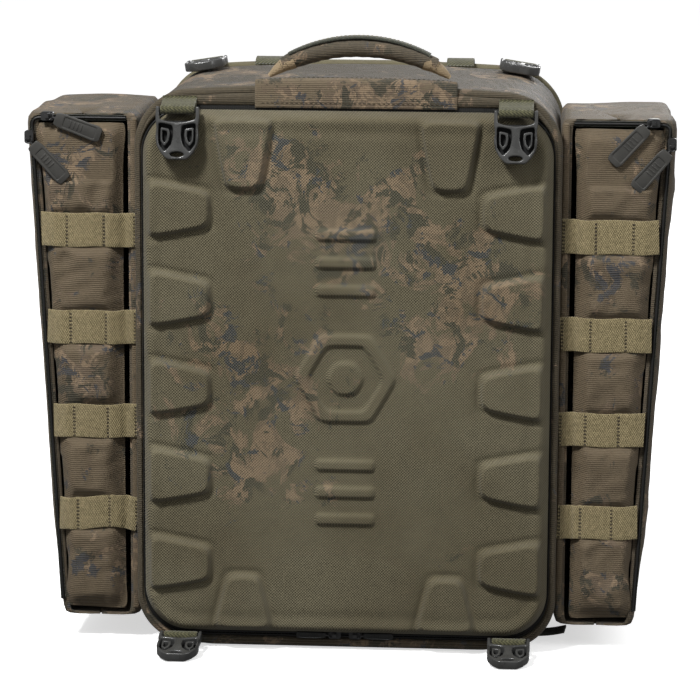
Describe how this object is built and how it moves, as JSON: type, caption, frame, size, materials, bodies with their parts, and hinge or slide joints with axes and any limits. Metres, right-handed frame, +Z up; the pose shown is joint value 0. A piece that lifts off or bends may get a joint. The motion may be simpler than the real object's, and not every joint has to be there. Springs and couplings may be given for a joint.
{
  "type": "tackle backpack",
  "caption": "Upright box-shaped camouflage backpack with a moulded hinged front lid, zipped side pockets with webbing rows, side-release buckle sockets and an arched carry handle.",
  "frame": {"origin": "centre of the base, on the ground", "axes": "X to the viewer's right facing the lid, Y from the lid to the back, Z up"},
  "size_m": [0.572, 0.3491, 0.5357],
  "materials": {
    "camo_fabric": "woven, matt",
    "band_fabric": "woven, matt",
    "eva_panel": "moulded foam with a coarse woven face",
    "webbing_olive": "ribbed webbing",
    "binding": "woven binding",
    "handle_end": "woven, matt",
    "buckle_plastic": "satin moulded",
    "zip_coil": "nylon coil on woven tape",
    "zip_metal": "satin",
    "pull_rubber": "satin",
    "base_rubber": "matt moulded",
    "mesh_pad": "spacer mesh",
    "inner_lining": "plain woven",
    "frame_plastic": "plain sheet"
  },
  "bodies": {
    "bag": {"base_panel": "base_rubber", "main_gusset": "camo_fabric", "front_frame": "band_fabric", "back_panel": "camo_fabric", "frame_sheet": "frame_plastic", "front_piping": "binding", "rear_piping": "binding", "main_zip_tape": "zip_coil", "lid_hinge_tape": "zip_coil", "inner_divider": "inner_lining", "handle_patch": "camo_fabric", "back_pads": "mesh_pad", "lumbar_pad": "mesh_pad", "right_shoulder_strap": "mesh_pad", "left_shoulder_strap": "mesh_pad", "lower_webbing": "webbing_olive", "ladder_locks": "buckle_plastic", "load_lifters": "webbing_olive", "grab_loop": "webbing_olive", "front_top_tabs": "webbing_olive", "front_bottom_tabs": "webbing_olive", "rear_top_tabs": "webbing_olive", "right_pocket_shell": "camo_fabric", "left_pocket_shell": "camo_fabric", "left_sternum_webbing": "webbing_olive", "sternum_catch": "buckle_plastic"},
    "lid": {"front_panel": "eva_panel", "lid_liner": "inner_lining", "lid_mesh_pocket": "mesh_pad"},
    "handle": {"handle_grip": "camo_fabric", "handle_spine": "binding", "handle_ends": "handle_end"},
    "sternum_clip": {"sternum_prong": "buckle_plastic", "right_sternum_webbing": "webbing_olive"},
    "front_top_right_buckle": {"front_top_right_buckle": "buckle_plastic"},
    "front_bottom_right_buckle": {"front_bottom_right_buckle": "buckle_plastic"},
    "rear_top_right_buckle": {"rear_top_right_buckle": "buckle_plastic"},
    "main_right_slider": {"main_right_slider": "zip_metal"},
    "main_right_pull": {"main_right_pull": "pull_rubber"},
    "right_pocket_flap": {"right_pocket_front": "camo_fabric", "right_pocket_zip": "zip_coil", "right_pocket_webbing": "webbing_olive"},
    "right_top_slider": {"right_top_slider": "zip_metal"},
    "right_top_pull": {"right_top_pull": "pull_rubber"},
    "right_side_slider": {"right_side_slider": "zip_metal"},
    "right_side_pull": {"right_side_pull": "pull_rubber"},
    "front_top_left_buckle": {"front_top_left_buckle": "buckle_plastic"},
    "front_bottom_left_buckle": {"front_bottom_left_buckle": "buckle_plastic"},
    "rear_top_left_buckle": {"rear_top_left_buckle": "buckle_plastic"},
    "main_left_slider": {"main_left_slider": "zip_metal"},
    "main_left_pull": {"main_left_pull": "pull_rubber"},
    "left_pocket_flap": {"left_pocket_front": "camo_fabric", "left_pocket_zip": "zip_coil", "left_pocket_webbing": "webbing_olive"},
    "left_top_slider": {"left_top_slider": "zip_metal"},
    "left_top_pull": {"left_top_pull": "pull_rubber"},
    "left_side_slider": {"left_side_slider": "zip_metal"},
    "left_side_pull": {"left_side_pull": "pull_rubber"}
  },
  "joints": [
    {"name": "lid_hinge", "type": "hinge", "parent": "bag", "child": "lid", "pos_m": [0, -0.1365, 0.474], "axis": [-1, 0, 0], "range_deg": [0, 100]},
    {"name": "handle_tilt", "type": "hinge", "parent": "bag", "child": "handle", "pos_m": [0.007, -0.075, 0.49672], "axis": [1, 0, 0], "range_deg": [-55, 55], "stiffness_Nm_per_rad": 0.2},
    {"name": "sternum_unclip", "type": "slide", "parent": "bag", "child": "sternum_clip", "axis": [1, 0, 0], "range_m": [0, 0.03]},
    {"name": "front_top_right_buckle_hinge", "type": "hinge", "parent": "lid", "child": "front_top_right_buckle", "pos_m": [0.143, -0.1365, 0.474], "axis": [-1, 0, 0], "range_deg": [0, 65]},
    {"name": "front_bottom_right_buckle_hinge", "type": "hinge", "parent": "bag", "child": "front_bottom_right_buckle", "pos_m": [0.143, -0.132, 0.013], "axis": [-1, 0, 0], "range_deg": [0, 70]},
    {"name": "rear_top_right_buckle_hinge", "type": "hinge", "parent": "bag", "child": "rear_top_right_buckle", "pos_m": [0.143, 0.092, 0.49396], "axis": [-0.9877, 0, 0.1564], "range_deg": [0, 150]},
    {"name": "main_right_slider_travel", "type": "slide", "parent": "lid", "child": "main_right_slider", "axis": [1, 0, 0], "range_m": [0, 0.075]},
    {"name": "main_right_pull_swing", "type": "hinge", "parent": "main_right_slider", "child": "main_right_pull", "pos_m": [0.009, -0.1249, 0.01425], "axis": [0, 0, -1], "range_deg": [0, 150]},
    {"name": "right_pocket_hinge", "type": "hinge", "parent": "bag", "child": "right_pocket_flap", "pos_m": [0.19, -0.108, 0.245], "axis": [0, 0, -1], "range_deg": [0, 85]},
    {"name": "right_top_slider_travel", "type": "slide", "parent": "right_pocket_flap", "child": "right_top_slider", "axis": [-1, 0, 0], "range_m": [0, 0.018]},
    {"name": "right_top_pull_swing", "type": "hinge", "parent": "right_top_slider", "child": "right_top_pull", "pos_m": [0.259, -0.1117, 0.4641], "axis": [0, 0, 1], "range_deg": [0, 150]},
    {"name": "right_side_slider_travel", "type": "slide", "parent": "right_pocket_flap", "child": "right_side_slider", "axis": [-0.0529, 0, -0.9986], "range_m": [0, 0.38]},
    {"name": "right_side_pull_swing", "type": "hinge", "parent": "right_side_slider", "child": "right_side_pull", "pos_m": [0.2751, -0.1117, 0.446], "axis": [-1, 0, 0], "range_deg": [0, 150]},
    {"name": "front_top_left_buckle_hinge", "type": "hinge", "parent": "lid", "child": "front_top_left_buckle", "pos_m": [-0.143, -0.1365, 0.474], "axis": [-1, 0, 0], "range_deg": [0, 65]},
    {"name": "front_bottom_left_buckle_hinge", "type": "hinge", "parent": "bag", "child": "front_bottom_left_buckle", "pos_m": [-0.143, -0.132, 0.013], "axis": [-1, 0, 0], "range_deg": [0, 70]},
    {"name": "rear_top_left_buckle_hinge", "type": "hinge", "parent": "bag", "child": "rear_top_left_buckle", "pos_m": [-0.143, 0.092, 0.49396], "axis": [-0.9877, 0, -0.1564], "range_deg": [0, 150]},
    {"name": "main_left_slider_travel", "type": "slide", "parent": "lid", "child": "main_left_slider", "axis": [-1, 0, 0], "range_m": [0, 0.075]},
    {"name": "main_left_pull_swing", "type": "hinge", "parent": "main_left_slider", "child": "main_left_pull", "pos_m": [-0.009, -0.1249, 0.01425], "axis": [0, 0, 1], "range_deg": [0, 150]},
    {"name": "left_pocket_hinge", "type": "hinge", "parent": "bag", "child": "left_pocket_flap", "pos_m": [-0.19, -0.108, 0.245], "axis": [0, 0, 1], "range_deg": [0, 85]},
    {"name": "left_top_slider_travel", "type": "slide", "parent": "left_pocket_flap", "child": "left_top_slider", "axis": [1, 0, 0], "range_m": [0, 0.018]},
    {"name": "left_top_pull_swing", "type": "hinge", "parent": "left_top_slider", "child": "left_top_pull", "pos_m": [-0.259, -0.1117, 0.4641], "axis": [0, 0, -1], "range_deg": [0, 150]},
    {"name": "left_side_slider_travel", "type": "slide", "parent": "left_pocket_flap", "child": "left_side_slider", "axis": [0.0529, 0, -0.9986], "range_m": [0, 0.38]},
    {"name": "left_side_pull_swing", "type": "hinge", "parent": "left_side_slider", "child": "left_side_pull", "pos_m": [-0.2751, -0.1117, 0.446], "axis": [-1, 0, 0], "range_deg": [0, 150]}
  ]
}
